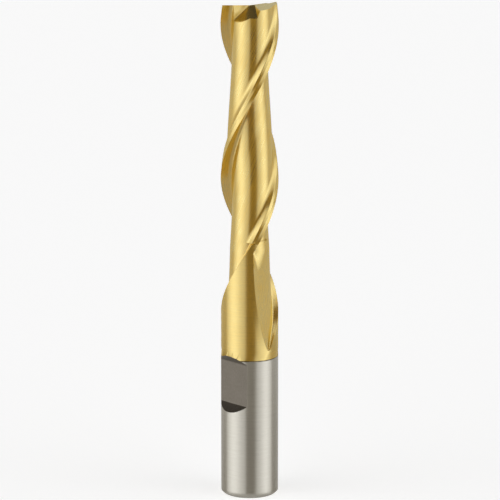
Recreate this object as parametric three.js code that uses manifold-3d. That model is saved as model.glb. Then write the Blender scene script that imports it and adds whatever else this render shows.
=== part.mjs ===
// Two-flute, centre-cutting end mill with a Weldon-flat shank, in millimetres.
// The tool stands on its shank end with the cutting end up. The origin is the centre of the
// shank's end face, +Z is the tool axis, and the Weldon flat faces -Y.

import * as THREE from 'three';
import { mergeVertices } from 'three/addons/utils/BufferGeometryUtils.js';
import Module from 'manifold-3d';

const INCH = 25.4;
const DEGREE = Math.PI / 180;

// Driving sizes: a 3/8 inch cutter on a 3/8 inch shank, long series.
const DIAMETER = 0.375 * INCH;
const RADIUS = DIAMETER / 2;
const OVERALL_LENGTH = 3.25 * INCH;
const WELD_HEIGHT = 23.5;
const HELIX_ANGLE = 30.4 * DEGREE;
const TOOTH_COUNT = 2;
const TIP_PHASE = 72.6 * DEGREE;

// Flute section, seen from the cutting end with one cutting edge on +X.
const HOOK_ANGLE = 10 * DEGREE;
const CORE_RADIUS = 0.7 * RADIUS;
const CORE_OFFSET = 0.11 * RADIUS;
const GULLET_RADIUS = 0.14 * RADIUS;
const HEEL_FOOT_ANGLE = 156 * DEGREE;

// Peripheral relief: primary and secondary land behind each cutting edge.
const RELIEF_LENGTH = 39.25;
const PRIMARY_START_ANGLE = 172 * DEGREE;
const PRIMARY_START_RADIUS = 0.978 * RADIUS;
const HEEL_TOP_ANGLE = 165 * DEGREE;
const HEEL_TOP_RADIUS = 0.948 * RADIUS;
const RELIEF_STEP = 0.15;

// Flute run-out, where the grinding wheel leaves the bar.
const WHEEL_STOP = 40.7;
const WHEEL_RADIUS = 95;
const GULLET_FADE = 5;
const PLAIN_HEEL_ANGLE = 166 * DEGREE;
const HEEL_TURN = 12 * DEGREE;
const RUN_OUT_END_WIDTH = 4 * DEGREE;

// End teeth: dish, end relief and the gash that lets both edges cut to the centre.
const DISH_ANGLE = 3.5 * DEGREE;
const END_RELIEF_ANGLE = 8.5 * DEGREE;
const WEB_HALF_THICKNESS = 0.06;
const GASH_START_DEPTH = 0.33;
const GASH_FACETS = [
  { slopeX: 0.81, slopeY: 0.21 },
  { slopeX: 0.18, slopeY: 0.49 },
];
const GASH_OUTLINE = [[RADIUS, 0], [RADIUS, RADIUS], [-0.1, RADIUS], [-0.55, 0.3], [-0.45, 0]];

// Shank: Weldon flat with 45 degree end walls, chamfer and centre hole.
const FLAT_DISTANCE = 0.325 * INCH - RADIUS;
const FLAT_LENGTH = 0.28 * INCH;
const FLAT_CENTRE = 19.35;
const SHANK_CHAMFER = 0.45;
const CENTRE_HOLE_RADIUS = 1.2;
const CENTRE_HOLE_ANGLE = 30 * DEGREE;
const PILOT_RADIUS = 0.55;
const PILOT_DEPTH = 2.6;
const SHANK_SIDES = 72;

// Facets of the fluted body.
const GULLET_POINTS = 5;
const INNER_FLOOR_POINTS = 3;
const OUTER_FLOOR_POINTS = 8;
const LAND_POINTS = 14;
const HELIX_LEVELS = 30;
const RUN_OUT_LEVELS = 16;

const TWIST_PER_MM = Math.tan(HELIX_ANGLE) / RADIUS;
const STOP_HEIGHT = OVERALL_LENGTH - WHEEL_STOP;
const RELIEF_END_HEIGHT = OVERALL_LENGTH - RELIEF_LENGTH;
const CORE_CENTRE = new THREE.Vector2(-CORE_OFFSET, 0);
const CUTTING_EDGE = new THREE.Vector2(RADIUS, 0);

const wasm = await Module();
wasm.setup();

const polar = (radius, angle) =>
  new THREE.Vector2(radius * Math.cos(angle), radius * Math.sin(angle));

const onCore = (angle, radius = CORE_RADIUS) => polar(radius, angle).add(CORE_CENTRE);

const phaseAt = (height) => TIP_PHASE - (OVERALL_LENGTH - height) * TWIST_PER_MM;

// Direction from the core's centre of the line that leaves the cutting edge and just
// touches the core.
const TANGENT_ANGLE = Math.acos(CORE_RADIUS / CUTTING_EDGE.distanceTo(CORE_CENTRE));
const TANGENT_SUPPORT = onCore(TANGENT_ANGLE).dot(polar(1, TANGENT_ANGLE));

// Hooked cutting face and gullet: a straight face from the cutting edge, then a round
// gullet that runs into the core.
function gulletPoints() {
  const along = polar(1, Math.PI + HOOK_ANGLE);
  const across = polar(1, Math.PI / 2 + HOOK_ANGLE);
  const start = CUTTING_EDGE.clone().sub(CORE_CENTRE).addScaledVector(across, GULLET_RADIUS);
  const reach = CORE_RADIUS + GULLET_RADIUS;
  const b = start.dot(along);
  const run = -b - Math.sqrt(b * b - start.lengthSq() + reach * reach);
  const centre = start.addScaledVector(along, run).add(CORE_CENTRE);
  const first = -Math.PI / 2 + HOOK_ANGLE;
  const last = centre.clone().sub(CORE_CENTRE).angle() - Math.PI;
  const points = [];
  for (let i = 0; i < GULLET_POINTS; i += 1) {
    const angle = THREE.MathUtils.lerp(first, last, i / (GULLET_POINTS - 1));
    points.push(polar(GULLET_RADIUS, angle).add(centre));
  }
  return points;
}

// Floor of the flute in the fluted length: [point, distance along the plain floor, depth
// below it]. The plain floor is the tangent from the cutting edge, then the core.
function floorTable() {
  const tangentPoint = onCore(TANGENT_ANGLE);
  const normal = polar(1, TANGENT_ANGLE);
  const along = polar(1, TANGENT_ANGLE + Math.PI / 2);
  const gullet = gulletPoints();
  const innerStart = gullet.at(-1).clone().sub(CORE_CENTRE).angle();
  const inner = [];
  for (let i = 1; i <= INNER_FLOOR_POINTS; i += 1) {
    inner.push(onCore(THREE.MathUtils.lerp(innerStart, TANGENT_ANGLE, i / INNER_FLOOR_POINTS)));
  }
  const table = [CUTTING_EDGE, ...gullet, ...inner].map((point) => ({
    distance: point.clone().sub(CUTTING_EDGE).dot(along),
    depth: TANGENT_SUPPORT - point.dot(normal),
  }));
  const straight = tangentPoint.distanceTo(CUTTING_EDGE);
  const footAngle = footDirection();
  for (let i = 1; i <= OUTER_FLOOR_POINTS; i += 1) {
    const turn = (footAngle - TANGENT_ANGLE) * (i / OUTER_FLOOR_POINTS);
    table.push({ distance: straight + turn * CORE_RADIUS, depth: 0 });
  }
  const length = table.at(-1).distance;
  return table.map(({ distance, depth }) => ({ share: distance / length, depth }));
}

// Direction, from the core's centre, of the foot of the heel wall.
function footDirection() {
  const ray = polar(1, HEEL_FOOT_ANGLE);
  const b = -ray.dot(CORE_CENTRE);
  const reach = -b + Math.sqrt(b * b - CORE_CENTRE.lengthSq() + CORE_RADIUS * CORE_RADIUS);
  return ray.multiplyScalar(reach).sub(CORE_CENTRE).angle();
}

const FLOOR_TABLE = floorTable();
const HEEL_FOOT = onCore(footDirection());

// One flute and the land after it at a distance past the wheel's stop (0 in the fluted
// length), with the cutting edge on +X. The wheel keeps its direction there, so the floor's
// straight part turns back against the helix and rises by the wheel's arc.
function toothOutline(past, relieved) {
  const planeAngle = TANGENT_ANGLE + past * TWIST_PER_MM;
  const rise = WHEEL_RADIUS - Math.sqrt(WHEEL_RADIUS * WHEEL_RADIUS - past * past);
  const support = TANGENT_SUPPORT + rise;
  const normal = polar(1, planeAngle);
  const along = polar(1, planeAngle + Math.PI / 2);
  const coreRadius = support - CORE_CENTRE.dot(normal);
  const startAngle = planeAngle - Math.acos(Math.min(1, support / RADIUS));
  const start = polar(RADIUS, startAngle);
  const heelTopAngle = PLAIN_HEEL_ANGLE - HEEL_TURN * Math.min(1, past / FLUTE_RUN_OUT);
  const wallTop = relieved ? polar(HEEL_TOP_RADIUS, HEEL_TOP_ANGLE) : polar(RADIUS, heelTopAngle);
  const straight = Math.max(0, onCore(planeAngle, coreRadius).sub(start).dot(along));
  const covers = (point) => {
    const turn = point.clone().sub(CORE_CENTRE).angle() - planeAngle;
    return turn > 0 ? point.distanceTo(CORE_CENTRE) < coreRadius : point.dot(normal) < support;
  };
  let low = 0;
  let high = 1;
  for (let i = 0; i < 40; i += 1) {
    const middle = (low + high) / 2;
    if (covers(HEEL_FOOT.clone().lerp(wallTop, middle))) low = middle;
    else high = middle;
  }
  const foot = HEEL_FOOT.clone().lerp(wallTop, low);
  const footTurn = Math.max(0, foot.clone().sub(CORE_CENTRE).angle() - planeAngle);
  const length = footTurn > 0
    ? straight + footTurn * coreRadius
    : foot.clone().sub(start).dot(along);
  const fade = Math.max(0, 1 - past / GULLET_FADE) ** 2;
  const points = FLOOR_TABLE.map(({ share, depth }) => {
    const distance = share * length;
    const turn = (distance - straight) / coreRadius;
    const point = turn > 0 && footTurn > 0
      ? onCore(planeAngle + turn, coreRadius)
      : start.clone().addScaledVector(along, distance);
    return point.addScaledVector(normal, -depth * fade);
  });
  points.push(...landPoints(wallTop, startAngle, relieved));
  return points;
}

// The land between a heel and the next cutting edge: two flat reliefs where it is ground,
// the plain cylinder elsewhere.
function landPoints(wallTop, nextStart, relieved) {
  const points = [];
  const border = polar(PRIMARY_START_RADIUS, PRIMARY_START_ANGLE);
  const nextEdge = polar(RADIUS, Math.PI);
  const half = LAND_POINTS / 2;
  for (let i = 0; i < LAND_POINTS; i += 1) {
    if (!relieved) {
      const angle = THREE.MathUtils.lerp(wallTop.angle(), Math.PI + nextStart, i / LAND_POINTS);
      points.push(polar(RADIUS, angle));
    } else if (i < half) {
      points.push(wallTop.clone().lerp(border, i / half));
    } else {
      points.push(border.clone().lerp(nextEdge, (i - half) / half));
    }
  }
  return points;
}

// Length of the run-out: where the rising floor has all but reached the cylinder at the heel.
function runOutLength() {
  const lastStart = PLAIN_HEEL_ANGLE - HEEL_TURN - RUN_OUT_END_WIDTH;
  let low = 0;
  let high = RADIUS * 5;
  for (let i = 0; i < 40; i += 1) {
    const past = (low + high) / 2;
    const rise = WHEEL_RADIUS - Math.sqrt(WHEEL_RADIUS * WHEEL_RADIUS - past * past);
    const reach = Math.min(1, (TANGENT_SUPPORT + rise) / RADIUS);
    const startAngle = TANGENT_ANGLE + past * TWIST_PER_MM - Math.acos(reach);
    if (startAngle < lastStart) low = past;
    else high = past;
  }
  return low;
}

const FLUTE_RUN_OUT = runOutLength();

// Full section at a height: both teeth, turned with the helix.
function sectionAt(height) {
  const past = THREE.MathUtils.clamp(STOP_HEIGHT - height, 0, FLUTE_RUN_OUT);
  const outline = toothOutline(past, height > RELIEF_END_HEIGHT);
  const points = [];
  const origin = new THREE.Vector2();
  for (let tooth = 0; tooth < TOOTH_COUNT; tooth += 1) {
    const turn = phaseAt(height) + (tooth * 2 * Math.PI) / TOOTH_COUNT;
    points.push(...outline.map((point) => point.clone().rotateAround(origin, turn)));
  }
  return points;
}

// Extrusion whose section changes from level to level: the first section is extruded, then
// every vertex moves to its own place in the section of its level.
function loft(heights, section) {
  const base = section(heights[0]);
  const steps = heights.length - 1;
  const geometry = new THREE.ExtrudeGeometry(new THREE.Shape(base), {
    depth: steps,
    steps,
    bevelEnabled: false,
    curveSegments: 1,
  });
  const key = (x, y) => `${x.toFixed(4)},${y.toFixed(4)}`;
  const places = new Map(base.map((point, index) => [key(point.x, point.y), index]));
  const sections = heights.map((height) => section(height));
  const position = geometry.getAttribute('position');
  for (let i = 0; i < position.count; i += 1) {
    const level = Math.round(position.getZ(i));
    const point = sections[level][places.get(key(position.getX(i), position.getY(i)))];
    position.setXYZ(i, point.x, point.y, heights[level]);
  }
  return geometry;
}

function solid(geometry) {
  const bare = geometry.index ? geometry.toNonIndexed() : geometry;
  bare.deleteAttribute('normal');
  bare.deleteAttribute('uv');
  const merged = mergeVertices(bare, 1e-4);
  return new wasm.Manifold(new wasm.Mesh({
    numProp: 3,
    vertProperties: new Float32Array(merged.getAttribute('position').array),
    triVerts: new Uint32Array(merged.index.array),
  }));
}

function meshOf(name, body, material) {
  const data = body.getMesh();
  const geometry = new THREE.BufferGeometry();
  geometry.setAttribute('position', new THREE.BufferAttribute(data.vertProperties, 3));
  geometry.setIndex(new THREE.BufferAttribute(data.triVerts, 1));
  geometry.computeVertexNormals();
  const mesh = new THREE.Mesh(geometry, material);
  mesh.name = name;
  return mesh;
}

// Plan outline extruded upwards, with its underside tilted down along x and y.
function slopedCut(outline, baseHeight, slopeX, slopeY) {
  const shape = new THREE.Shape(outline.map(([x, y]) => new THREE.Vector2(x, y)));
  const geometry = new THREE.ExtrudeGeometry(shape, { depth: DIAMETER, bevelEnabled: false });
  const tilt = new THREE.Matrix4().set(
    1, 0, 0, 0,
    0, 1, 0, 0,
    -slopeX, -slopeY, 1, baseHeight,
    0, 0, 0, 1,
  );
  return geometry.applyMatrix4(tilt);
}

// Everything ground off the end for one tooth, with its cutting edge on +X.
function endCuts() {
  const dish = Math.tan(DISH_ANGLE);
  const relief = Math.tan(END_RELIEF_ANGLE);
  const half = [[-DIAMETER, 0], [-DIAMETER, -DIAMETER], [DIAMETER, -DIAMETER], [DIAMETER, 0]];
  const cuts = [slopedCut(half, OVERALL_LENGTH - RADIUS * dish, -dish, -relief)];
  const outline = GASH_OUTLINE.map(([x, y]) => [x, y + WEB_HALF_THICKNESS]);
  for (const { slopeX, slopeY } of GASH_FACETS) {
    cuts.push(slopedCut(outline, OVERALL_LENGTH - GASH_START_DEPTH, slopeX, slopeY));
  }
  return cuts;
}

function weldonPocket() {
  const low = FLAT_CENTRE - FLAT_LENGTH / 2;
  const high = FLAT_CENTRE + FLAT_LENGTH / 2;
  const out = DIAMETER / 4;
  const shape = new THREE.Shape([
    new THREE.Vector2(-FLAT_DISTANCE, low),
    new THREE.Vector2(-FLAT_DISTANCE, high),
    new THREE.Vector2(-FLAT_DISTANCE - out, high + out),
    new THREE.Vector2(-FLAT_DISTANCE - out, low - out),
  ]);
  const geometry = new THREE.ExtrudeGeometry(shape, { depth: 2 * DIAMETER, bevelEnabled: false });
  geometry.translate(0, 0, -DIAMETER);
  geometry.applyMatrix4(new THREE.Matrix4().set(
    0, 0, 1, 0,
    1, 0, 0, 0,
    0, 1, 0, 0,
    0, 0, 0, 1,
  ));
  return solid(geometry);
}

function flutedBar() {
  const heights = [WELD_HEIGHT];
  for (let i = RUN_OUT_LEVELS; i >= 0; i -= 1) {
    heights.push(STOP_HEIGHT - (FLUTE_RUN_OUT * i) / RUN_OUT_LEVELS);
  }
  heights.push(RELIEF_END_HEIGHT, RELIEF_END_HEIGHT + RELIEF_STEP);
  const first = RELIEF_END_HEIGHT + RELIEF_STEP;
  for (let i = 1; i <= HELIX_LEVELS; i += 1) {
    heights.push(THREE.MathUtils.lerp(first, OVERALL_LENGTH, i / HELIX_LEVELS));
  }
  return solid(loft(heights, sectionAt));
}

function flutedCutter(pocket) {
  let body = flutedBar();
  for (let tooth = 0; tooth < TOOTH_COUNT; tooth += 1) {
    const turn = TIP_PHASE + (tooth * 2 * Math.PI) / TOOTH_COUNT;
    for (const cut of endCuts()) {
      body = body.subtract(solid(cut.rotateZ(turn)));
    }
  }
  return body.subtract(pocket);
}

function weldonShank(pocket) {
  const coneDepth = (CENTRE_HOLE_RADIUS - PILOT_RADIUS) / Math.tan(CENTRE_HOLE_ANGLE);
  const profile = [
    [0, PILOT_DEPTH],
    [PILOT_RADIUS, PILOT_DEPTH],
    [PILOT_RADIUS, coneDepth],
    [CENTRE_HOLE_RADIUS, 0],
    [RADIUS - SHANK_CHAMFER, 0],
    [RADIUS, SHANK_CHAMFER],
    [RADIUS, WELD_HEIGHT],
    [0, WELD_HEIGHT],
  ].map(([x, y]) => new THREE.Vector2(x, y));
  const bar = new THREE.LatheGeometry(profile, SHANK_SIDES).rotateX(Math.PI / 2);
  return solid(bar).subtract(pocket);
}

const coatedSteel = new THREE.MeshStandardMaterial({
  color: 0xd9b45f,
  roughness: 0.28,
  metalness: 1,
});
const groundSteel = new THREE.MeshStandardMaterial({
  color: 0xb4aea4,
  roughness: 0.3,
  metalness: 1,
});

const pocket = weldonPocket();
const endMill = new THREE.Group();
endMill.add(meshOf('fluted_cutter', flutedCutter(pocket), coatedSteel));
endMill.add(meshOf('weldon_shank', weldonShank(pocket), groundSteel));

export default endMill;
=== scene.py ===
"""Visual model of a two-flute end mill: a coated cutting end on a plain ground shank."""

import cmath
import logging
import math
from contextlib import contextmanager
from dataclasses import dataclass
from enum import Enum
from typing import Callable, Iterator, Sequence

import bmesh
import bpy
import numpy as np
from mathutils import Matrix, Vector


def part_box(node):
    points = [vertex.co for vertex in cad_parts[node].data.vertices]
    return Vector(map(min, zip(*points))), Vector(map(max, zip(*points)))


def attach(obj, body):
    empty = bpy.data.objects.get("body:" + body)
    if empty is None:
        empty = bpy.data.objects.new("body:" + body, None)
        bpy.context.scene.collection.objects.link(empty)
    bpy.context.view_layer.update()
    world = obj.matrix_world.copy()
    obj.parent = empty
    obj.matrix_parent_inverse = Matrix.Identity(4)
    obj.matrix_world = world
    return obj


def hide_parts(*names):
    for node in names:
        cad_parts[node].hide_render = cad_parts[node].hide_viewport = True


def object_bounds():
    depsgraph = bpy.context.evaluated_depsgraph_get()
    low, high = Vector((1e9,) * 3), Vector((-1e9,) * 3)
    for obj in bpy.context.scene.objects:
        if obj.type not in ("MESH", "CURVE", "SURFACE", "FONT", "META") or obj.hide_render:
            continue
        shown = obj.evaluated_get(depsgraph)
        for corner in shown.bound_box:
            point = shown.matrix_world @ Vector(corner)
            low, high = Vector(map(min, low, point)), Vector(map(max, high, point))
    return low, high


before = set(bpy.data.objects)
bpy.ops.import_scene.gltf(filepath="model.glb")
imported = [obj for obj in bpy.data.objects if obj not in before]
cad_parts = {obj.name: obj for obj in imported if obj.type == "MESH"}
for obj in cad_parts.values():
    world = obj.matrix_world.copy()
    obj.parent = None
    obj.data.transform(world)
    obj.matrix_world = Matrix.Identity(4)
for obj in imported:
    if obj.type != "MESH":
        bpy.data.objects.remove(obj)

CAD_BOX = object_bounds()
MILLIMETRE = 0.001
INCH = 0.0254
OVER_FLAT, FLAT_LENGTH, FLAT_MIDDLE = 0.325 * INCH, 0.28 * INCH, 0.01935
POCKET_REACH, END_REACH = 8, 4
ON_PLANE = 1e-7
BEVEL_STEPS = 5
LEAST = 1e-9
TIP_PHASE = math.radians(72.6)
HELIX_ANGLE = math.radians(30.4)
SHARP_ANGLE = math.radians(24)
GOLD, GOLD_GROOVES = (0.92, 0.80, 0.37), (0.92, 0.60, 0.04)
STEEL, STEEL_GROOVES = (0.65, 0.645, 0.60), (0.80, 0.74, 0.62)
# Painted shade: the Weldon flat's steel is coloured much darker than the round-ground steel of the same
# shank.
SHADED_FLAT_STEEL, SHADED_FLAT_GROOVES = (0.30, 0.27, 0.23), (0.29, 0.255, 0.20)
# Painted shade: the upward-facing lower end wall of the flat is coloured near black.
SHADED_WALL_STEEL, SHADED_WALL_GROOVES = (0.15, 0.13, 0.11), (0.12, 0.10, 0.07)
LOG = logging.getLogger("end_mill")

Colour = tuple[float, float, float]
SocketKey = int | str


class Grain(Enum):
    """Direction of a grinding wheel's marks, as how their noise is scaled on x, y and z."""

    ALONG_HELIX = (1.0, 1.0, 0.03)
    AROUND_AXIS = (0.08, 0.08, 1.0)
    ACROSS_FACE = (1.0, 0.08, 0.6)


class Zone(Enum):
    """Surfaces of the cutting end, by the grinding operation that made them."""

    FLUTE = 0
    HEEL = 1
    SECONDARY = 2
    PRIMARY = 3
    CYLINDER = 4
    END = 5
    POCKET = 6


# ---- shader maths


class Value:
    """One number in a node tree; Python's operators on it add Math nodes."""

    def __init__(self, bench: "Bench", socket: bpy.types.NodeSocket) -> None:
        """Wraps a socket of the bench's tree."""
        self.bench = bench
        self.socket = socket

    def __add__(self, other: "Number") -> "Value":
        """Sum."""
        return self.bench.math("ADD", self, other)

    def __radd__(self, other: "Number") -> "Value":
        """Sum, with the number first."""
        return self.bench.math("ADD", other, self)

    def __sub__(self, other: "Number") -> "Value":
        """Difference."""
        return self.bench.math("SUBTRACT", self, other)

    def __rsub__(self, other: "Number") -> "Value":
        """Difference, with the number first."""
        return self.bench.math("SUBTRACT", other, self)

    def __mul__(self, other: "Number") -> "Value":
        """Product."""
        return self.bench.math("MULTIPLY", self, other)

    def __rmul__(self, other: "Number") -> "Value":
        """Product, with the number first."""
        return self.bench.math("MULTIPLY", other, self)

    def __truediv__(self, other: "Number") -> "Value":
        """Quotient."""
        return self.bench.math("DIVIDE", self, other)

    def __rtruediv__(self, other: "Number") -> "Value":
        """Quotient, with the number first."""
        return self.bench.math("DIVIDE", other, self)

    def rise(self, low: float, high: float) -> "Value":
        """Smooth step: 0 at and below low, 1 at and above high.

        Args:
            low: Value where the step starts.
            high: Value where the step ends.

        Returns:
            The stepped value.
        """
        made = self.bench.node(
            "ShaderNodeMapRange",
            {"interpolation_type": "SMOOTHSTEP"},
            {"Value": self, "From Min": low, "From Max": high},
        )
        return Value(self.bench, made.outputs["Result"])


Number = Value | float


class Bench:
    """A node tree under construction."""

    def __init__(self, tree: bpy.types.NodeTree) -> None:
        """Starts from an empty tree."""
        self.tree = tree
        tree.nodes.clear()

    def node(
        self,
        kind: str,
        settings: dict[str, object] | None = None,
        values: dict[SocketKey, object] | None = None,
    ) -> bpy.types.Node:
        """Adds one node.

        Args:
            kind: The node's type name.
            settings: Attributes to set first.
            values: Numbers, colours, Values or sockets for its inputs, by name or index.

        Returns:
            The new node.
        """
        made = self.tree.nodes.new(kind)
        for key, setting in (settings or {}).items():
            setattr(made, key, setting)
        for key, value in (values or {}).items():
            value = value.socket if isinstance(value, Value) else value
            if isinstance(value, bpy.types.NodeSocket):
                self.tree.links.new(value, made.inputs[key])
            else:
                made.inputs[key].default_value = value
        return made

    def math(self, operation: str, *terms: Number) -> Value:
        """Adds a Math node.

        Args:
            operation: The node's operation.
            terms: Its inputs in order.

        Returns:
            The result.
        """
        made = self.node("ShaderNodeMath", {"operation": operation}, dict(enumerate(terms)))
        return Value(self, made.outputs[0])

    def vector(self, operation: str, *terms: object) -> bpy.types.NodeSocket:
        """Adds a Vector Math node.

        Args:
            operation: The node's operation.
            terms: Its inputs in order.

        Returns:
            The vector that comes out.
        """
        made = self.node("ShaderNodeVectorMath", {"operation": operation}, dict(enumerate(terms)))
        return made.outputs[0]

    def blend(self, share: Number, first: object, second: object) -> bpy.types.NodeSocket:
        """Mixes two colours.

        Args:
            share: How much of the second colour there is.
            first: Colour or socket.
            second: Colour or socket.

        Returns:
            The mixed colour.
        """
        made = self.node("ShaderNodeMix", {"data_type": "RGBA"}, {0: share, 6: first, 7: second})
        return made.outputs[2]

    def axis(self, place: bpy.types.NodeSocket, name: str) -> Value:
        """One axis of a place."""
        return Value(self, self.node("ShaderNodeSeparateXYZ", None, {"Vector": place}).outputs[name])

    def turned(self, place: bpy.types.NodeSocket, angle: Number) -> bpy.types.NodeSocket:
        """Turns a place round the Z axis.

        Args:
            place: The place.
            angle: The angle.

        Returns:
            The turned place.
        """
        values = {"Vector": place, "Angle": angle}
        return self.node("ShaderNodeVectorRotate", {"rotation_type": "Z_AXIS"}, values).outputs[0]

    def noise(self, place: bpy.types.NodeSocket, scale: float, detail: float) -> Value:
        """Adds a Noise texture.

        Args:
            place: Where it is looked up.
            scale: Waves per unit of place.
            detail: Number of finer layers.

        Returns:
            The noise, about 0.5 on average.
        """
        made = self.node("ShaderNodeTexNoise", None, {"Vector": place, "Scale": scale, "Detail": detail})
        return Value(self, made.outputs[0])


def rgba(colour: Colour) -> tuple[float, float, float, float]:
    """Colour with full opacity."""
    return (*colour, 1.0)


# ---- finishes


@dataclass(frozen=True)
class Helix:
    """The helix that the flutes follow."""

    tip_height: float
    tip_phase: float
    turn_per_metre: float

    def phase(self, height: np.ndarray | float) -> np.ndarray | float:
        """Angle of the first cutting edge at a height."""
        return self.tip_phase + (height - self.tip_height) * self.turn_per_metre


@dataclass(frozen=True)
class GroundMetal:
    """Bare or coated steel with the marks of a grinding wheel.

    Marks and clouds are waves per millimetre and the number of finer layers.
    """

    name: str
    grain: Grain
    helix: Helix
    tint: Colour
    groove_tint: Colour
    groove_share: float = 0.45
    share_swing: float = 0.35
    groove_roughness: float = 0.85
    roughness: float = 0.21
    roughness_swing: float = 0.10
    mark_depth: float = 0.0009
    fine_marks: tuple[float, float] = (16.0, 3.0)
    coarse_marks: tuple[float, float] = (3.5, 2.0)
    clouds: tuple[float, float] = (0.35, 2.0)
    marks_weight: float = 1.4
    cloud_weight: float = 0.5
    seam_strength: float = 0.8
    seam_fade: tuple[float, float] = (0.03, 0.22)
    seam_height: float | None = None
    seam_tint: Colour = (0.16, 0.09, 0.04)

    def build(self) -> bpy.types.Material:
        """Makes the material.

        Returns:
            The finished material.
        """
        material = bpy.data.materials.new(self.name)
        material.use_nodes = True
        bench = Bench(material.node_tree)
        place = bench.node("ShaderNodeTexCoord").outputs["Object"]
        millimetres = bench.vector("MULTIPLY", place, (1 / MILLIMETRE,) * 3)
        along = self._grain_place(bench, millimetres)
        fine = bench.noise(along, *self.fine_marks)
        coarse = bench.noise(along, *self.coarse_marks)
        cloud = bench.noise(millimetres, *self.clouds)
        marks = fine * 0.5 + coarse * 0.5
        depth = (marks - 0.5) * self.marks_weight + (cloud - 0.5) * self.cloud_weight
        colour, groove_colour = rgba(self.tint), rgba(self.groove_tint)
        share = self.groove_share + depth * self.share_swing
        if self.seam_height is not None:
            height = bench.axis(millimetres, "Z")
            away = bench.math("ABSOLUTE", height - self.seam_height / MILLIMETRE)
            seam = (1.0 - away.rise(*self.seam_fade)) * self.seam_strength
            colour = bench.blend(seam, colour, rgba(self.seam_tint))
            groove_colour = bench.blend(seam, groove_colour, rgba(self.seam_tint))
        rough = self.roughness + (marks - 0.5) * self.roughness_swing
        bump = bench.node(
            "ShaderNodeBump", None,
            {"Strength": 1.0, "Distance": self.mark_depth * MILLIMETRE, "Height": marks},
        )
        polished = bench.node(
            "ShaderNodeBsdfPrincipled", None,
            {"Base Color": colour, "Metallic": 1.0, "Roughness": rough, "Normal": bump.outputs["Normal"]},
        )
        grooves = bench.node(
            "ShaderNodeBsdfPrincipled", None,
            {"Base Color": groove_colour, "Metallic": 1.0, "Roughness": self.groove_roughness},
        )
        shader = bench.node(
            "ShaderNodeMixShader", None,
            {0: share, 1: polished.outputs["BSDF"], 2: grooves.outputs["BSDF"]},
        )
        bench.node("ShaderNodeOutputMaterial", None, {"Surface": shader.outputs["Shader"]})
        return material

    def _grain_place(self, bench: Bench, place: bpy.types.NodeSocket) -> bpy.types.NodeSocket:
        """Stretches the place so that noise looked up there runs along the grain.

        Args:
            bench: The material's bench.
            place: Place in millimetres.

        Returns:
            The stretched place.
        """
        if self.grain is Grain.ALONG_HELIX:
            height = bench.axis(place, "Z") * MILLIMETRE
            turn = (height - self.helix.tip_height) * -self.helix.turn_per_metre
            place = bench.turned(place, turn)
        return bench.vector("MULTIPLY", place, self.grain.value)


# ---- mesh helpers


def mesh_object(name: str, mesh: bpy.types.Mesh) -> bpy.types.Object:
    """Puts a mesh into the scene.

    Args:
        name: The new object's name.
        mesh: Its mesh.

    Returns:
        The object, at the origin.
    """
    thing = bpy.data.objects.new(name, mesh)
    bpy.context.scene.collection.objects.link(thing)
    return thing


def plain_mesh(thing: bpy.types.Object, name: str) -> bpy.types.Mesh:
    """Mesh of an object with its modifiers applied; the object is removed.

    Args:
        thing: Object with live modifiers.
        name: Name of the new mesh.

    Returns:
        The plain mesh.
    """
    graph = bpy.context.evaluated_depsgraph_get()
    graph.update()
    mesh = bpy.data.meshes.new_from_object(thing.evaluated_get(graph))
    mesh.name = name
    bpy.data.objects.remove(thing)
    return mesh


@contextmanager
def edited(mesh: bpy.types.Mesh) -> Iterator[bmesh.types.BMesh]:
    """Opens a mesh for editing and writes the edits back.

    Args:
        mesh: The mesh.

    Yields:
        Its editable form.
    """
    form = bmesh.new()
    form.from_mesh(mesh)
    yield form
    form.to_mesh(mesh)
    form.free()


def row_at(section: np.ndarray, height: float) -> np.ndarray:
    """Points of a section, given as x + iy, at a height."""
    return np.column_stack([section.real, section.imag, np.full(len(section), height)])


def quads(rows: int, columns: int, closed: bool) -> list[tuple[int, ...]]:
    """Faces between rows of points.

    Args:
        rows: Number of rows.
        columns: Points in a row.
        closed: Whether each row is a ring.

    Returns:
        The points' numbers, face by face.
    """
    return [
        (low + side, low + (side + 1) % columns, low + columns + (side + 1) % columns, low + columns + side)
        for low in range(0, (rows - 1) * columns, columns)
        for side in range(columns if closed else columns - 1)
    ]


Plane = tuple[Sequence[float], Sequence[float]]


def block_between(planes: Sequence[Plane], reach: float, rounding: float = 0.0) -> bpy.types.Mesh:
    """Convex block: what is behind all the planes, inside a large cube.

    Args:
        planes: Pairs of a point on the plane and its normal, which points out of the block.
        reach: Half the side of the cube.
        rounding: Radius of the block's edges, 0 for sharp ones.

    Returns:
        The closed mesh.
    """
    mesh = bpy.data.meshes.new("block")
    with edited(mesh) as form:
        bmesh.ops.create_cube(form, size=2 * reach)
        for point, normal in planes:
            everything = [*form.verts, *form.edges, *form.faces]
            bmesh.ops.bisect_plane(
                form, geom=everything, dist=reach * ON_PLANE,
                plane_co=point, plane_no=normal, clear_outer=True,
            )
            bmesh.ops.contextual_create(form, geom=[edge for edge in form.edges if edge.is_boundary])
        if rounding:
            bmesh.ops.bevel(
                form, geom=list(form.edges), offset=rounding, offset_type="OFFSET", segments=BEVEL_STEPS,
                profile=0.5, affect="EDGES", clamp_overlap=True,
            )
        bmesh.ops.recalc_face_normals(form, faces=form.faces)
    return mesh


def cut_away(body: bpy.types.Mesh, tools: Sequence[bpy.types.Mesh]) -> bpy.types.Mesh:
    """Takes closed tools away from a closed body, one after another.

    Args:
        body: Closed mesh.
        tools: Closed meshes.

    Returns:
        What is left of the body.
    """
    name = body.name
    blank = mesh_object("blank", body)
    cutters = [mesh_object("cutter", tool) for tool in tools]
    for cutter in cutters:
        cut = blank.modifiers.new("cut", "BOOLEAN")
        cut.operation = "DIFFERENCE"
        cut.solver = "MANIFOLD"
        cut.object = cutter
    left = plain_mesh(blank, name)
    for cutter in cutters:
        bpy.data.objects.remove(cutter)
    return left


# ---- the section of the flutes


def between(first: complex, last: complex, steps: int) -> list[complex]:
    """Evenly spaced numbers or points from the first to the last."""
    return [first + (last - first) * step / steps for step in range(steps + 1)]


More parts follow.
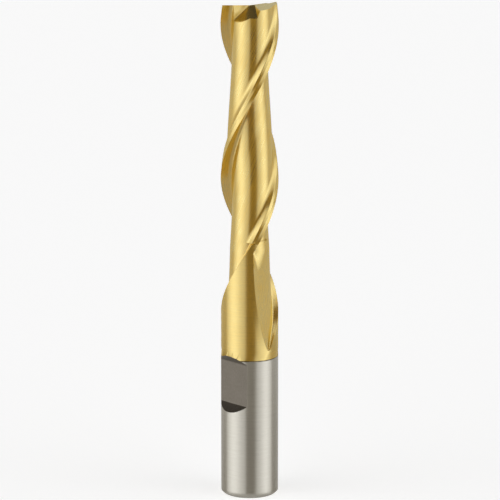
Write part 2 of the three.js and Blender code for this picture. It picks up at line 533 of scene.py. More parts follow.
def limit_of(holds: Callable[[float], bool], high: float, halvings: int) -> float:
    """Finds how far from 0 up a test holds, by halving.

    Args:
        holds: The test.
        high: Where it no longer holds.
        halvings: How many times to halve.

    Returns:
        The last number found for which it holds.
    """
    low = 0.0
    for _ in range(halvings):
        middle = (low + high) / 2
        if holds(middle):
            low = middle
        else:
            high = middle
    return low


@dataclass(frozen=True)
class FluteForm:
    """Section of one flute and its land, seen from the cutting end, the cutting edge on +X.

    Points are complex numbers, x + iy, in metres.
    """

    radius: float
    turn_per_metre: float
    core_share: float = 0.70
    offset_share: float = 0.11
    gullet_share: float = 0.14
    hook: float = math.radians(10)
    heel_foot_angle: float = math.radians(156)
    primary_angle: float = math.radians(172)
    primary_share: float = 0.978
    heel_top_angle: float = math.radians(165)
    heel_top_share: float = 0.948
    plain_heel_angle: float = math.radians(166)
    plain_foot_turn: float = math.radians(2.5)
    heel_turn: float = math.radians(12)
    heel_fillet: float = 0.09
    plain_fillet: float = 0.04
    end_width: float = math.radians(4)
    wheel_radius: float = 0.095
    gullet_fade: float = 0.005
    edge_break: float = 0.00003
    least_wall: float = 0.00003
    least_turn: float = 0.001
    rake_steps: int = 5
    gullet_steps: int = 14
    inner_steps: int = 8
    outer_steps: int = 34
    fillet_steps: int = 6
    wall_steps: int = 4
    land_steps: int = 12
    fillet_wall_share: float = 0.45
    fillet_floor_share: float = 0.3

    @property
    def core(self) -> float:
        """Radius of the core."""
        return self.core_share * self.radius

    @property
    def centre(self) -> complex:
        """Centre of the core's arc."""
        return complex(-self.offset_share * self.radius, 0.0)

    @property
    def tangent_angle(self) -> float:
        """Direction from the core's centre of the line from the cutting edge that touches the core."""
        return math.acos(self.core / abs(self.radius - self.centre))

    @property
    def tangent_support(self) -> float:
        """Distance of that line from the tool's axis."""
        ray = cmath.rect(1.0, self.tangent_angle)
        return self.core + (self.centre * ray.conjugate()).real

    @property
    def foot(self) -> complex:
        """Foot of the heel's wall, on the core.

        Returns:
            The point.
        """
        ray = cmath.rect(1.0, self.heel_foot_angle)
        middle = (self.centre * ray.conjugate()).real
        reach = middle + math.sqrt(middle**2 - abs(self.centre) ** 2 + self.core**2)
        return ray * reach

    def face_and_gullet(self) -> list[complex]:
        """Cutting face and the round gullet behind it.

        Returns:
            Points from the cutting edge to where the gullet runs into the core.
        """
        radius = self.gullet_share * self.radius
        along = cmath.rect(1.0, math.pi + self.hook)
        across = cmath.rect(1.0, math.pi / 2 + self.hook)
        start = self.radius - self.centre + across * radius
        middle = (start * along.conjugate()).real
        reach = self.core + radius
        run = -middle - math.sqrt(middle**2 - abs(start) ** 2 + reach**2)
        centre = start + along * run
        first = -math.pi / 2 + self.hook
        last = cmath.phase(centre) - math.pi
        turns = between(first, last, self.gullet_steps)
        arc = [centre + cmath.rect(radius, turn) + self.centre for turn in turns]
        return between(complex(self.radius, 0.0), arc[0], self.rake_steps)[:-1] + arc

    def floor_table(self) -> tuple[np.ndarray, np.ndarray]:
        """The whole flute laid out along its plain floor, the tangent line and then the core.

        Returns:
            Shares of the floor's length, and depths below it.
        """
        ray = cmath.rect(1.0, self.tangent_angle)
        face = self.face_and_gullet()
        turns = between(cmath.phase(face[-1] - self.centre), self.tangent_angle, self.inner_steps)
        inner = [self.centre + cmath.rect(self.core, turn) for turn in turns[1:]]
        points = np.array(face + inner)
        distance = ((points - self.radius) * (ray * 1j).conjugate()).real
        depth = self.tangent_support - (points * ray.conjugate()).real
        outer_turn = cmath.phase(self.foot - self.centre) - self.tangent_angle
        steps = np.arange(1, self.outer_steps + 1)
        outer = distance[-1] + outer_turn * self.core * steps / self.outer_steps
        distance = np.concatenate([distance, outer])
        depth = np.concatenate([depth, np.zeros(self.outer_steps)])
        return distance / distance[-1], depth

    def start_angle(self, past: float) -> float:
        """Where the flute's leading border cuts the cylinder.

        Args:
            past: Distance past the place where the wheel stops.

        Returns:
            The angle in the section.
        """
        reach = min(1.0, (self.tangent_support + self.rise(past)) / self.radius)
        return self.tangent_angle + past * self.turn_per_metre - math.acos(reach)

    def rise(self, past: float) -> float:
        """Height of the wheel's arc above the floor, at a distance past its stop."""
        return self.wheel_radius - math.sqrt(self.wheel_radius**2 - past**2)

    def run_out(self) -> float:
        """Length of the run-out.

        Returns:
            Distance past the wheel's stop where the floor has all but reached the cylinder.
        """
        last = self.plain_heel_angle - self.heel_turn - self.end_width
        return limit_of(lambda past: self.start_angle(past) < last, high=5 * self.radius, halvings=40)

    def outline(self, past: float, length: float, relieved: bool, table: tuple) -> np.ndarray:
        """Section of one flute and its land.

        Args:
            past: Distance past the wheel's stop, 0 in the fluted length.
            length: Length of the run-out.
            relieved: Whether the land is relieved behind the cutting edge.
            table: What floor_table gives.

        Returns:
            Points from this cutting edge to the next one.
        """
        angle = self.tangent_angle + past * self.turn_per_metre
        support = self.tangent_support + self.rise(past)
        normal = cmath.rect(1.0, angle)
        along = normal * 1j
        core = support - (self.centre * normal.conjugate()).real
        start = cmath.rect(self.radius, self.start_angle(past))
        if relieved:
            top = cmath.rect(self.heel_top_share * self.radius, self.heel_top_angle)
            base, fillet = self.foot, self.heel_fillet * self.radius
        else:
            heel = self.plain_heel_angle - self.heel_turn * min(1.0, past / length)
            top = cmath.rect(self.radius, heel)
            base = cmath.rect(self.core, heel - self.plain_foot_turn)
            fillet = self.plain_fillet * self.radius
        touch = self.centre + normal * core
        straight = max(0.0, ((touch - start) * along.conjugate()).real)
        foot = self._covered(base, top, angle, support, core)
        if abs(top - foot) < self.least_wall:
            foot = top + (base - top) / abs(base - top) * self.least_wall
        turn = max(0.0, cmath.phase(foot - self.centre) - angle)
        if turn > 0:
            floor_length = straight + turn * core
        else:
            floor_length = ((foot - start) * along.conjugate()).real
        most = (abs(top - foot) * self.fillet_wall_share, floor_length * self.fillet_floor_share)
        fillet = min(fillet, *most)
        floor_length -= fillet
        fade = max(0.0, 1 - past / self.gullet_fade) ** 2
        shares, depths = table
        distance = shares * floor_length
        bend = (distance - straight) / core
        flat = start + along * distance
        if turn > 0:
            flat = np.where(bend > 0, self.centre + normal * core * np.exp(1j * np.maximum(bend, 0)), flat)
        floor = flat - normal * depths * fade
        rest = foot + (top - foot) / max(abs(top - foot), LEAST) * fillet
        share = np.arange(1, self.fillet_steps + 1) / self.fillet_steps
        bend = floor[-1] * (1 - share) ** 2 + foot * 2 * share * (1 - share) + rest * share**2
        wall = rest + (top - rest) * np.arange(1, self.wall_steps) / self.wall_steps
        land = self._land(top, start, relieved)
        return np.concatenate([floor, bend, wall, self._broken(rest, top, land[1]), land[1:]])

    def _covered(
        self, base: complex, top: complex, angle: float, support: float, core: float
    ) -> complex:
        """Where the floor meets the heel's wall.

        Args:
            base: Lowest point that the wall could have.
            top: Top of the wall.
            angle: Direction that the wheel faces.
            support: Distance of the wheel's flat from the axis.
            core: Radius of the floor's round part.

        Returns:
            The new foot of the wall.
        """

        def below(share: float) -> bool:
            """Tells whether part of the wall is under the floor.

            Args:
                share: Where on the wall, 0 at its lowest point.

            Returns:
                Whether it is.
            """
            point = base + (top - base) * share
            from_centre = point - self.centre
            if cmath.phase(from_centre) > angle:
                return abs(from_centre) < core
            return (point * cmath.rect(1.0, -angle)).real < support

        return base + (top - base) * limit_of(below, high=1.0, halvings=30)

    def rounded(self, outline: np.ndarray) -> np.ndarray:
        """Section below the run-out, where nothing is ground away.

        Args:
            outline: Section at the end of the run-out.

        Returns:
            As many points, on the cylinder.
        """
        turns = np.unwrap(np.angle(outline))
        steps = np.maximum(np.diff(turns), self.least_turn)
        turns = turns[0] + np.concatenate([[0.0], np.cumsum(steps)]) * math.pi / steps.sum()
        return self.radius * np.exp(1j * turns)

    def _broken(self, before: complex, corner: complex, after: complex) -> list[complex]:
        """The corner at the heel's top with its sharpness taken off.

        Args:
            before: Point on one side.
            corner: The sharp corner.
            after: Point on the other side.

        Returns:
            Two points in place of the corner.
        """
        size = min(self.edge_break, abs(before - corner) / 3, abs(after - corner) / 3)
        ways = (before - corner, after - corner)
        return [corner + way / max(abs(way), LEAST) * size for way in ways]

    def _land(self, top: complex, start: complex, relieved: bool) -> list[complex]:
        """The land between the heel and the next cutting edge.

        Args:
            top: Top of the heel.
            start: This flute's leading border; the next one is half a turn on.
            relieved: Whether the two flat reliefs are there.

        Returns:
            Points from the heel to the next cutting edge.
        """
        if not relieved:
            turns = between(cmath.phase(top), math.pi + cmath.phase(start), self.land_steps)
            return [cmath.rect(self.radius, turn) for turn in turns]
        border = cmath.rect(self.primary_share * self.radius, self.primary_angle)
        half = self.land_steps // 2
        return between(top, border, half)[:-1] + between(border, -self.radius, half)


# ---- the cutting end


@dataclass(frozen=True)
class WeldonPocket:
    """The flat for a holder's set screw, with its slanted end walls."""

    distance: float
    length: float
    centre: float
    corner: float = 0.00012

    def tool(self, reach: float) -> bpy.types.Mesh:
        """The block that is ground away.

        Args:
            reach: How far the block goes.

        Returns:
            The closed mesh.
        """
        half = self.length / 2
        planes = [
            ((0, -self.distance, self.centre), (0, 1, 0)),
            ((0, -self.distance, self.centre + half), (0, 1, 1)),
            ((0, -self.distance, self.centre - half), (0, 1, -1)),
        ]
        return block_between(planes, reach, self.corner)


@dataclass
class CuttingEnd:
    """The fluted, coated end of the tool."""

    radius: float
    weld_height: float
    helix: Helix
    pocket: WeldonPocket
    teeth: int = 2
    relief_length: float = 0.03925
    relief_step: float = 0.00015
    wheel_stop: float = 0.0407
    level_step: float = 0.0002
    overrun: float = 0.0008
    seam_break: float = 0.00005
    dish: float = math.radians(3.5)
    end_relief: float = math.radians(8.5)
    web: float = 0.00006
    overlap: float = 0.000002
    sliver: float = 0.000004
    end_cut_length: float = 0.0042
    gash_depth: float = 0.00033
    gash_slopes: tuple = ((0.81, 0.21), (0.18, 0.49))
    gash_rounding: float = 0.00018
    gash_wall: tuple = (
        (0.0001, 0.00314, -0.0019), (-0.00036, 0.00313, -0.00079), (-0.00075, 0.0002, -0.00032)
    )
    merge_distance: float = 2e-7
    end_zone_length: float = 0.0035
    end_facing: float = 0.6
    round_share: float = 0.97
    round_facing: float = 0.98
    pocket_facing: float = 0.3
    pocket_margin: float = 0.000001

    def build(self, finishes: dict[Zone, bpy.types.Material]) -> bpy.types.Object:
        """Makes the cutting end.

        Args:
            finishes: Material of each zone.

        Returns:
            The finished object.
        """
        form = FluteForm(self.radius, self.helix.turn_per_metre)
        blank = self._close(self._twisted(self._straight_tooth(form), finishes[Zone.FLUTE]))
        tools = [*self._end_tools(), self.pocket.tool(POCKET_REACH * self.radius)]
        mesh = cut_away(blank, tools)
        self._weld_slivers(mesh)
        kinds = list(dict.fromkeys(finishes.values()))
        slots = np.array([kinds.index(finishes[zone]) for zone in Zone], np.int32)
        dress(mesh, kinds, slots, lambda centres, normals: self._zones(centres, normals, form))
        return mesh_object("coated_cutting_end", mesh)

    def _levels(self, form: FluteForm) -> list[tuple[float, float, bool, float]]:
        """Levels of the loft, from the weld up.

        Args:
            form: The section.

        Returns:
            Height, distance past the wheel's stop, whether relieved, and radial share.
        """
        tip = self.helix.tip_height
        stop = tip - self.wheel_stop
        relief_end = tip - self.relief_length
        length = form.run_out()
        seam = 1 - self.seam_break / self.radius
        levels = [
            (self.weld_height, length, False, seam),
            (self.weld_height + self.seam_break, length, False, 1.0),
        ]
        run_steps = round(length / self.level_step)
        for step in range(run_steps, -1, -1):
            past = length * step / run_steps
            levels.append((stop - past, past, False, 1.0))
        plain = between(stop, relief_end, round((relief_end - stop) / self.level_step))
        first, last = relief_end + self.relief_step, tip + self.overrun
        fluted = between(first, last, round((last - first) / self.level_step))
        levels += [(height, 0.0, False, 1.0) for height in plain[1:]]
        return levels + [(height, 0.0, True, 1.0) for height in fluted]

    def _straight_tooth(self, form: FluteForm) -> bpy.types.Mesh:
        """One flute and its land, not yet twisted.

        Args:
            form: The section.

        Returns:
            An open strip of quads.
        """
        table = form.floor_table()
        length = form.run_out()
        rows = []
        for height, past, relieved, share in self._levels(form):
            outline = form.outline(past, length, relieved, table)
            if past >= length:
                outline = form.rounded(outline)
            rows.append(row_at(outline * share, height))
        mesh = bpy.data.meshes.new("straight_tooth")
        mesh.from_pydata(np.concatenate(rows).tolist(), [], quads(len(rows), len(rows[0]), False))
        return mesh

    def _twisted(self, tooth: bpy.types.Mesh, finish: bpy.types.Material) -> bpy.types.Mesh:
        """Both teeth, turned round the axis along the helix by a node tree.

        Args:
            tooth: The straight tooth.
            finish: Material of the flutes.

        Returns:
            The twisted mesh, open at both ends.
        """
        inputs = {
            "Tooth": ("Geometry", None),
            "Tooth Count": ("Int", self.teeth),
            "Turn per Metre": ("Float", self.helix.turn_per_metre),
            "Tip Height": ("Float", self.helix.tip_height),
            "Tip Phase": ("Float", self.helix.tip_phase),
            "Merge Distance": ("Float", self.merge_distance),
            "Finish": ("Material", finish),
        }
        thing = mesh_object("straight_tooth", tooth)
        twist = thing.modifiers.new("helix", "NODES")
        twist.node_group = self._helix_tree({name: kind for name, (kind, _) in inputs.items()})
        for item in twist.node_group.interface.items_tree:
            if item.name in inputs and item.name != "Tooth":
                twist[item.identifier] = inputs[item.name][1]
        return plain_mesh(thing, "cutting_end")

    @staticmethod
    def _helix_tree(inputs: dict[str, str]) -> bpy.types.NodeTree:
        """Tree that repeats a tooth round the axis and twists it along the helix.

        Args:
            inputs: Name and kind of each input.

        Returns:
            The node group.
        """
        tree = bpy.data.node_groups.new("helical_teeth", "GeometryNodeTree")
        for name, kind in inputs.items():
            tree.interface.new_socket(name, in_out="INPUT", socket_type="NodeSocket" + kind)
        tree.interface.new_socket("Teeth", in_out="OUTPUT", socket_type="NodeSocketGeometry")
        bench = Bench(tree)
        given = bench.node("NodeGroupInput").outputs
        count = Value(bench, given["Tooth Count"])
        index = Value(bench, bench.node("GeometryNodeInputIndex").outputs["Index"])
        places = bench.node("GeometryNodePoints", None, {"Count": count})
        turn = bench.node("ShaderNodeCombineXYZ", None, {"Z": index * (2 * math.pi) / count})
        teeth = bench.node(
            "GeometryNodeInstanceOnPoints", None,
            {"Points": places.outputs[0], "Instance": given["Tooth"], "Rotation": turn.outputs[0]},
        )
        loose = bench.node("GeometryNodeRealizeInstances", None, {"Geometry": teeth.outputs[0]})
        ring = bench.node(
            "GeometryNodeMergeByDistance", None,
            {"Geometry": loose.outputs[0], "Distance": given["Merge Distance"]},
        )
        place = bench.node("GeometryNodeInputPosition").outputs["Position"]
        above = bench.axis(place, "Z") - Value(bench, given["Tip Height"])
        phase = above * Value(bench, given["Turn per Metre"]) + Value(bench, given["Tip Phase"])
        twisted = bench.node(
            "GeometryNodeSetPosition", None,
            {"Geometry": ring.outputs[0], "Position": bench.turned(place, phase)},
        )
        real = bench.node("GeometryNodeRealizeInstances", None, {"Geometry": twisted.outputs[0]})
        finished = bench.node(
            "GeometryNodeSetMaterial", None,
            {"Geometry": real.outputs[0], "Material": given["Finish"]},
        )
        bench.node("NodeGroupOutput", None, {"Teeth": finished.outputs[0]})
        return tree

    @staticmethod
    def _close(mesh: bpy.types.Mesh) -> bpy.types.Mesh:
        """Closes the two open ends.

        Args:
            mesh: The twisted teeth.

        Returns:
            The same mesh, closed.
        """
        with edited(mesh) as form:
            rims = [edge for edge in form.edges if edge.is_boundary]
            bmesh.ops.holes_fill(form, edges=rims, sides=0)
            bmesh.ops.recalc_face_normals(form, faces=form.faces)
        return mesh

    def _weld_slivers(self, mesh: bpy.types.Mesh) -> None:
        """Welds the slivers that the end cuts leave where they cross.

        Args:
            mesh: The cut shape.
        """
        lowest = self.helix.tip_height - self.end_cut_length
        with edited(mesh) as form:
            near = [vert for vert in form.verts if vert.co.z > lowest]
            bmesh.ops.remove_doubles(form, verts=near, dist=self.sliver)
            edges = [edge for edge in form.edges if min(vert.co.z for vert in edge.verts) > lowest]
            bmesh.ops.dissolve_degenerate(form, edges=edges, dist=self.sliver)
            bmesh.ops.triangulate(form, faces=[face for face in form.faces if len(face.verts) > 4])

    def _end_tools(self) -> list[bpy.types.Mesh]:
        """Blocks ground off the end, for both teeth.

        Returns:
            Closed meshes.
        """
        reach = END_REACH * self.radius
        face = ((self.radius, 0, 0), (math.tan(self.dish), math.tan(self.end_relief), -1))
        half = ((0, self.overlap, 0), (0, 1, 0))
        web = ((0, self.web, 0), (0, -1, 0))
        low, high, inner = (Vector(corner) for corner in self.gash_wall)
        normal = (high - inner).cross(low - inner)
        side = (tuple(high), tuple(-normal if normal.x > 0 else normal))
        lift = Matrix.Translation((0, 0, self.helix.tip_height))
        tools = []
        for tooth in range(self.teeth):
            turn = Matrix.Rotation(self.helix.tip_phase + 2 * math.pi * tooth / self.teeth, 4, "Z")
            blocks = [block_between([face, half], reach)]
            for x, y in self.gash_slopes:
                floor = ((0, 0, -self.gash_depth), (-x, -y, -1))
                blocks.append(block_between([floor, side, web], reach, self.gash_rounding))
            for block in blocks:
                block.transform(turn @ lift)
                tools.append(block)
        return tools

    def _zones(self, centres: np.ndarray, normals: np.ndarray, form: FluteForm) -> np.ndarray:
        """Zone of each face.

        Args:
            centres: Middle of each face.
            normals: Normal of each face.
            form: The section.

        Returns:
            Zone numbers.
        """
        height = centres[:, 2]
        spot = centres[:, 0] + 1j * centres[:, 1]
        spot = spot * np.exp(-1j * self.helix.phase(height))
        angle = np.mod(np.angle(spot), math.pi)
        zones = np.full(len(centres), Zone.FLUTE.value)
        relieved = height > self.helix.tip_height - self.relief_length
        for zone, first in ((Zone.HEEL, form.heel_foot_angle), (Zone.SECONDARY, form.heel_top_angle),
                            (Zone.PRIMARY, form.primary_angle)):
            zones[relieved & (angle > first)] = zone.value
        radial = (centres[:, :2] * normals[:, :2]).sum(1) / np.maximum(np.abs(spot), LEAST)
        outside = np.abs(spot) > self.round_share * self.radius
        zones[~relieved & outside & (radial > self.round_facing)] = Zone.CYLINDER.value
        near_tip = height > self.helix.tip_height - self.end_zone_length
        zones[near_tip & (normals[:, 2] > self.end_facing)] = Zone.END.value
        low = height < self.pocket.centre + self.pocket.length
        low &= height > self.weld_height + self.pocket_margin
        zones[low & (normals[:, 2] < -self.pocket_facing)] = Zone.POCKET.value
        return zones


def dress(
    mesh: bpy.types.Mesh,
    kinds: Sequence[bpy.types.Material],
    slots: np.ndarray,
    zones_of: Callable[[np.ndarray, np.ndarray], np.ndarray],
) -> None:
    """Gives each ground surface its finish and keeps the borders between them sharp.

    Args:
        mesh: The finished shape.
        kinds: The materials.
        slots: Number of each zone's material.
        zones_of: Gives each face's zone number from the faces' middles and normals.
    """
    mesh.materials.clear()
    for kind in kinds:
        mesh.materials.append(kind)
    centres, normals = (np.zeros(len(mesh.polygons) * 3) for _ in range(2))
    mesh.polygons.foreach_get("center", centres)
    mesh.polygons.foreach_get("normal", normals)
    centres, normals = centres.reshape(-1, 3), normals.reshape(-1, 3)
    zones = zones_of(centres, normals)
    mesh.polygons.foreach_set("material_index", slots[zones])
    mesh.polygons.foreach_set("use_smooth", np.ones(len(zones), bool))
    mark_borders(mesh, zones, normals)


def mark_borders(mesh: bpy.types.Mesh, zones: np.ndarray, normals: np.ndarray) -> None:
    """Marks edges sharp where the zone changes or the surface turns sharply.

    Args:
        mesh: The mesh.
        zones: Zone number of each face.
        normals: Normal of each face.
    """
    count = len(mesh.edges)
    loop_edges = np.zeros(len(mesh.loops), np.int32)
    mesh.loops.foreach_get("edge_index", loop_edges)
    totals = np.zeros(len(mesh.polygons), np.int32)
    mesh.polygons.foreach_get("loop_total", totals)
    loop_faces = np.repeat(np.arange(len(totals)), totals)
    order = np.argsort(loop_edges, kind="stable")
    firsts = np.searchsorted(loop_edges[order], np.arange(count))
    lasts = np.searchsorted(loop_edges[order], np.arange(count), side="right") - 1
    one, other = loop_faces[order][firsts], loop_faces[order][lasts]
    turned = (normals[one] * normals[other]).sum(1) < math.cos(SHARP_ANGLE)
    sharp = turned | (zones[one] != zones[other])
    mesh.edges.foreach_set("use_edge_sharp", sharp)
    mesh.update()


# ---- the shank


@dataclass
class Shank:
    """The plain cylindrical shank with its chamfer, centre hole and Weldon flat."""

    radius: float
    top: float
    pocket: WeldonPocket
    chamfer: float = 0.00045
    hole_radius: float = 0.0012
    pilot_radius: float = 0.00055
    pilot_depth: float = 0.0026
    pilot_point: float = 0.0003
    centre_angle: float = math.radians(30)
    edge_break: float = 0.00005
    sides: int = 180
    ring_gap: float = 0.0006
    ground_share: float = 0.9985
    ground_facing: float = 0.5
    wall_facing: float = 0.4

    def build(self, finishes: Sequence[bpy.types.Material]) -> bpy.types.Object:
        """Makes the shank.

        Args:
            finishes: Materials of the cylinder, of the flat and of its lower end wall.

        Returns:
            The finished object.
        """
        mesh = cut_away(self._lathed(), [self.pocket.tool(POCKET_REACH * self.radius)])
        dress(mesh, finishes, np.arange(len(finishes), dtype=np.int32), self._zones)
        return mesh_object("ground_weldon_shank", mesh)

    def _zones(self, centres: np.ndarray, normals: np.ndarray) -> np.ndarray:
        """Zone of each face: 0 the cylinder, 1 the flat and its upper wall, 2 its lower wall.

        Args:
            centres: Middle of each face.
            normals: Normal of each face.

        Returns:
            Zone numbers.
        """
        inside = np.hypot(centres[:, 0], centres[:, 1]) < self.ground_share * self.radius
        ground = inside & (centres[:, 1] < 0) & (normals[:, 1] < -self.ground_facing)
        ground &= centres[:, 2] > self.pocket.centre - self.pocket.length
        # Zone 1 takes the flat's painted shade, zone 2 the lower wall's darker painted shade.
        return np.where(ground, np.where(normals[:, 2] > self.wall_facing, 2, 1), 0)

    def _profile(self) -> list[tuple[float, float]]:
        """Half section of the shank before the flat is ground.

        Returns:
            Radius and height of each corner, from the pilot hole round to the weld.
        """
        cone = (self.hole_radius - self.pilot_radius) / math.tan(self.centre_angle)
        edge = self.edge_break
        flank = edge / math.sqrt(2)
        wall = np.arange(self.chamfer + edge, self.top - self.ring_gap, self.ring_gap)
        return [
            (self.pilot_radius, self.pilot_depth),
            (self.pilot_radius, cone),
            (self.hole_radius, 0.0),
            (self.radius - self.chamfer - edge, 0.0),
            (self.radius - self.chamfer + flank, flank),
            (self.radius - flank, self.chamfer - flank),
            *[(self.radius, float(height)) for height in wall],
            (self.radius, self.top - edge),
            (self.radius - edge, self.top),
        ]

    def _lathed(self) -> bpy.types.Mesh:
        """Turns the profile round the axis.

        Returns:
            The closed mesh.
        """
        profile = self._profile()
        turns = np.exp(2j * math.pi * np.arange(self.sides) / self.sides)
        rows = [row_at(turns * radius, height) for radius, height in profile]
        points = np.concatenate([*rows, [[0, 0, self.pilot_depth + self.pilot_point], [0, 0, self.top]]])
        faces = quads(len(profile), self.sides, True)
        inner, outer = len(points) - 2, len(points) - 1
        last = (len(profile) - 1) * self.sides
        for side in range(self.sides):
            after = (side + 1) % self.sides
            faces.append((after, side, inner))
            faces.append((last + side, last + after, outer))
        mesh = bpy.data.meshes.new("shank")
        mesh.from_pydata(points.tolist(), [], faces)
        return mesh


# ---- the studio


@dataclass(frozen=True)
class SoftPanel:
    """Upright soft light beside the tool, fading towards its two edges.

    Edges are azimuths in degrees, 0 behind the camera and rising to its right.
    """

    first: float
    last: float
    first_fade: float
    last_fade: float
    level: float

    def light(self, azimuth: Value) -> Value:
        """Brightness of the panel.

        Args:
            azimuth: Direction in degrees.

        Returns:
            The brightness there.
        """
        lit = azimuth.rise(self.first, self.first + self.first_fade)
        dark = azimuth.rise(self.last - self.last_fade, self.last)
        return lit * (1.0 - dark) * self.level


@dataclass(frozen=True)
class Studio:
    """White floor, two soft side lights and the camera.

    An edge is the pair of values between which it fades. Those of the low part, the ceiling, the
    flag's height and the ground are of a direction's upward part, that of the flag's side is of its
    part to the right, and the others are of its part away from the camera.
    """

    azimuth: float = 48.1
    elevation: float = 12.25
    distance: float = 0.5917
    aim_share: float = 0.5017
    lens: float = 257.5
    shift: float = 0.0007
    floor_radius: float = 2.4
    floor_sides: int = 96
    floor_tint: Colour = (0.85, 0.85, 0.85)
    floor_glow: Colour = (1.0, 1.0, 1.0)
    floor_glow_level: float = 0.6
    clipping: tuple[float, float] = (0.01, 10.0)
    panels: tuple[SoftPanel, ...] = (
        SoftPanel(-112, -10, 16, 12, 0.90),
        SoftPanel(-110, -20, 42, 46, 1.00),
        SoftPanel(18, 107, 16, 14, 0.95),
        SoftPanel(32, 102, 36, 32, 0.90),
    )
    front_level: float = 0.06
    wall_level: float = 0.65
    wall_edge: tuple = (0.10, 0.35)
    table_level: float = 0.45
    table_edge: tuple = (0.55, 0.95)
    low_edge: tuple = (-0.257, -0.237)
    ceiling_edge: tuple = (0.70, 0.84)
    back_ceiling_edge: tuple = (0.50, 0.62)
    back_edge: tuple = (0.20, 0.50)
    flag_height: tuple = (0.28, 0.42)
    flag_side: tuple = (-0.50, -0.30)
    flag_back: tuple = (0.10, 0.30)
    ground_edge: tuple = (-0.52, -0.36)
    ceiling_level: float = 0.05
    ground_level: float = 0.50

    def build(self) -> None:
        """Makes the camera, the lights and the floor."""
        self._camera()
        self._world()
        self._floor()

    def _camera(self) -> None:
        """Makes the camera and looks through it."""
        azimuth, elevation = math.radians(self.azimuth), math.radians(self.elevation)
        back = Vector((
            math.sin(azimuth) * math.cos(elevation),
            -math.cos(azimuth) * math.cos(elevation),
            math.sin(elevation),
        ))
        aim = Vector((0, 0, CAD_BOX[1].z * self.aim_share))
        data = bpy.data.cameras.new("camera")
        data.lens = self.lens
        data.shift_x = self.shift
        data.clip_start, data.clip_end = self.clipping
        camera = bpy.data.objects.new("camera", data)
        camera.location = aim + back * self.distance
        camera.rotation_mode = "QUATERNION"
        camera.rotation_quaternion = (-back).to_track_quat("-Z", "Y")
        bpy.context.scene.collection.objects.link(camera)
        bpy.context.scene.camera = camera

    def _world(self) -> None:
        """Soft lights as bright bands of the surroundings."""
        world = bpy.data.worlds.new("soft_studio")
        world.use_nodes = True
        bench = Bench(world.node_tree)
        way = bench.node("ShaderNodeTexCoord").outputs["Generated"]
        turned = bench.turned(way, -math.radians(self.azimuth))
        right, ahead, up = (bench.axis(turned, name) for name in "XYZ")
        azimuth = bench.math("ARCTAN2", right, ahead * -1.0)
        degrees = azimuth * (180 / math.pi)
        share = up.rise(*self.low_edge)
        wall = share * ahead.rise(*self.wall_edge) * self.wall_level
        table = (1.0 - share) * ahead.rise(*self.table_edge) * self.table_level
        ring = wall + table + self.front_level
        for panel in self.panels:
            ring = ring + panel.light(degrees)
        over_front = up.rise(*self.ceiling_edge)
        over_back = up.rise(*self.back_ceiling_edge) * ahead.rise(*self.back_edge)
        beside = 1.0 - right.rise(*self.flag_side)
        flag = up.rise(*self.flag_height) * beside * ahead.rise(*self.flag_back)
        above = 1.0 - (1.0 - over_front) * (1.0 - over_back) * (1.0 - flag)
        under = 1.0 - up.rise(*self.ground_edge)
        level = ring * (1.0 - above) * (1.0 - under)
        level = level + above * self.ceiling_level + under * self.ground_level
        light = bench.node("ShaderNodeBackground", None, {"Strength": level})
        bench.node("ShaderNodeOutputWorld", None, {"Surface": light.outputs["Background"]})
        bpy.context.scene.world = world

    def _floor(self) -> None:
        """Pale floor, which the tool doesn't mirror."""
        material = bpy.data.materials.new("pale_floor")
        material.use_nodes = True
        bench = Bench(material.node_tree)
        shader = bench.node(
            "ShaderNodeBsdfPrincipled", None,
            {
                "Base Color": rgba(self.floor_tint),
                "Roughness": 1.0,
                "Specular IOR Level": 0.0,
                "Emission Color": rgba(self.floor_glow),
                "Emission Strength": self.floor_glow_level,
            },
        )
        bench.node("ShaderNodeOutputMaterial", None, {"Surface": shader.outputs["BSDF"]})
        mesh = bpy.data.meshes.new("floor")
        with edited(mesh) as form:
            bmesh.ops.create_circle(
                form, cap_ends=True, segments=self.floor_sides, radius=self.floor_radius
            )
        mesh.materials.append(material)
        floor = mesh_object("floor", mesh)
        floor.visible_glossy = False


# ---- assembly


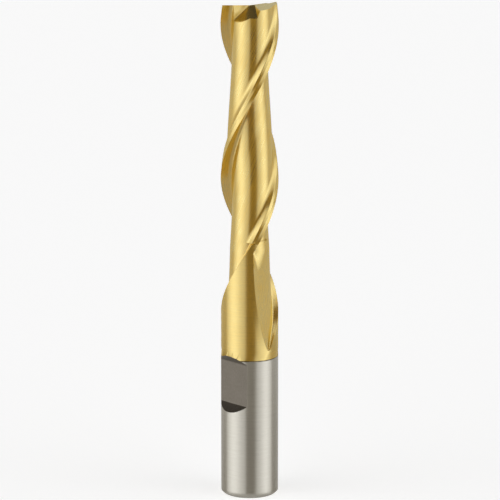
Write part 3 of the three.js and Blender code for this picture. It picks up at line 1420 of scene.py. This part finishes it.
def coated(name: str, grain: Grain, helix: Helix, **details: float) -> bpy.types.Material:
    """Gold-coated steel with its grain in one direction."""
    return GroundMetal(name, grain, helix, GOLD, GOLD_GROOVES, **details).build()


def main() -> None:
    """Builds the scene and reports each piece."""
    logging.basicConfig(level=logging.INFO, format="%(message)s")
    bpy.context.scene.view_settings.view_transform = "Standard"
    shank_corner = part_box("weldon_shank")[1]
    radius, weld_height = shank_corner.x, shank_corner.z
    tip = CAD_BOX[1].z
    helix = Helix(tip, TIP_PHASE, math.tan(HELIX_ANGLE) / radius)
    pocket = WeldonPocket(OVER_FLAT - radius, FLAT_LENGTH, FLAT_MIDDLE)
    flute = coated("coating_over_flute_grind", Grain.ALONG_HELIX, helix, share_swing=0.5)
    cylinder = coated(
        "coating_over_round_grind", Grain.AROUND_AXIS, helix, seam_height=weld_height, share_swing=0.2
    )
    end = coated("coating_over_end_grind", Grain.ACROSS_FACE, helix, groove_share=0.14, share_swing=0.2)
    steel = GroundMetal(
        "round_ground_steel", Grain.AROUND_AXIS, helix, STEEL, STEEL_GROOVES,
        share_swing=0.12, roughness_swing=0.04, mark_depth=0.0004,
    ).build()
    # The flat's darker colour is painted shade; its higher roughness is the flat grind.
    flat = GroundMetal(
        "flat_ground_steel_painted_shade", Grain.ACROSS_FACE, helix, SHADED_FLAT_STEEL, SHADED_FLAT_GROOVES,
        roughness=0.4, share_swing=0.8,
    ).build()
    # The lower pocket wall's near-black colour is painted shade.
    wall = GroundMetal(
        "painted_shade_on_lower_pocket_wall", Grain.ACROSS_FACE, helix, SHADED_WALL_STEEL, SHADED_WALL_GROOVES,
        roughness=0.45, share_swing=0.8,
    ).build()
    # The flat's material also carries its painted shade onto the pocket faces of the cutting end.
    finishes = dict.fromkeys(Zone, flute) | {Zone.CYLINDER: cylinder, Zone.END: end, Zone.POCKET: flat}
    Studio().build()
    pieces = [
        (CuttingEnd(radius, weld_height, helix, pocket).build(finishes), "fluted_cutter",
         "titanium_nitride_coating"),
        (Shank(radius, weld_height, pocket).build([steel, flat, wall]), "weldon_shank", "ground_steel"),
    ]
    for piece, node, slot in pieces:
        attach(piece, "root")
        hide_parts(node)
        LOG.info("%s: %d faces", piece.name, len(piece.data.polygons))


if __name__ == "__main__":
    main()
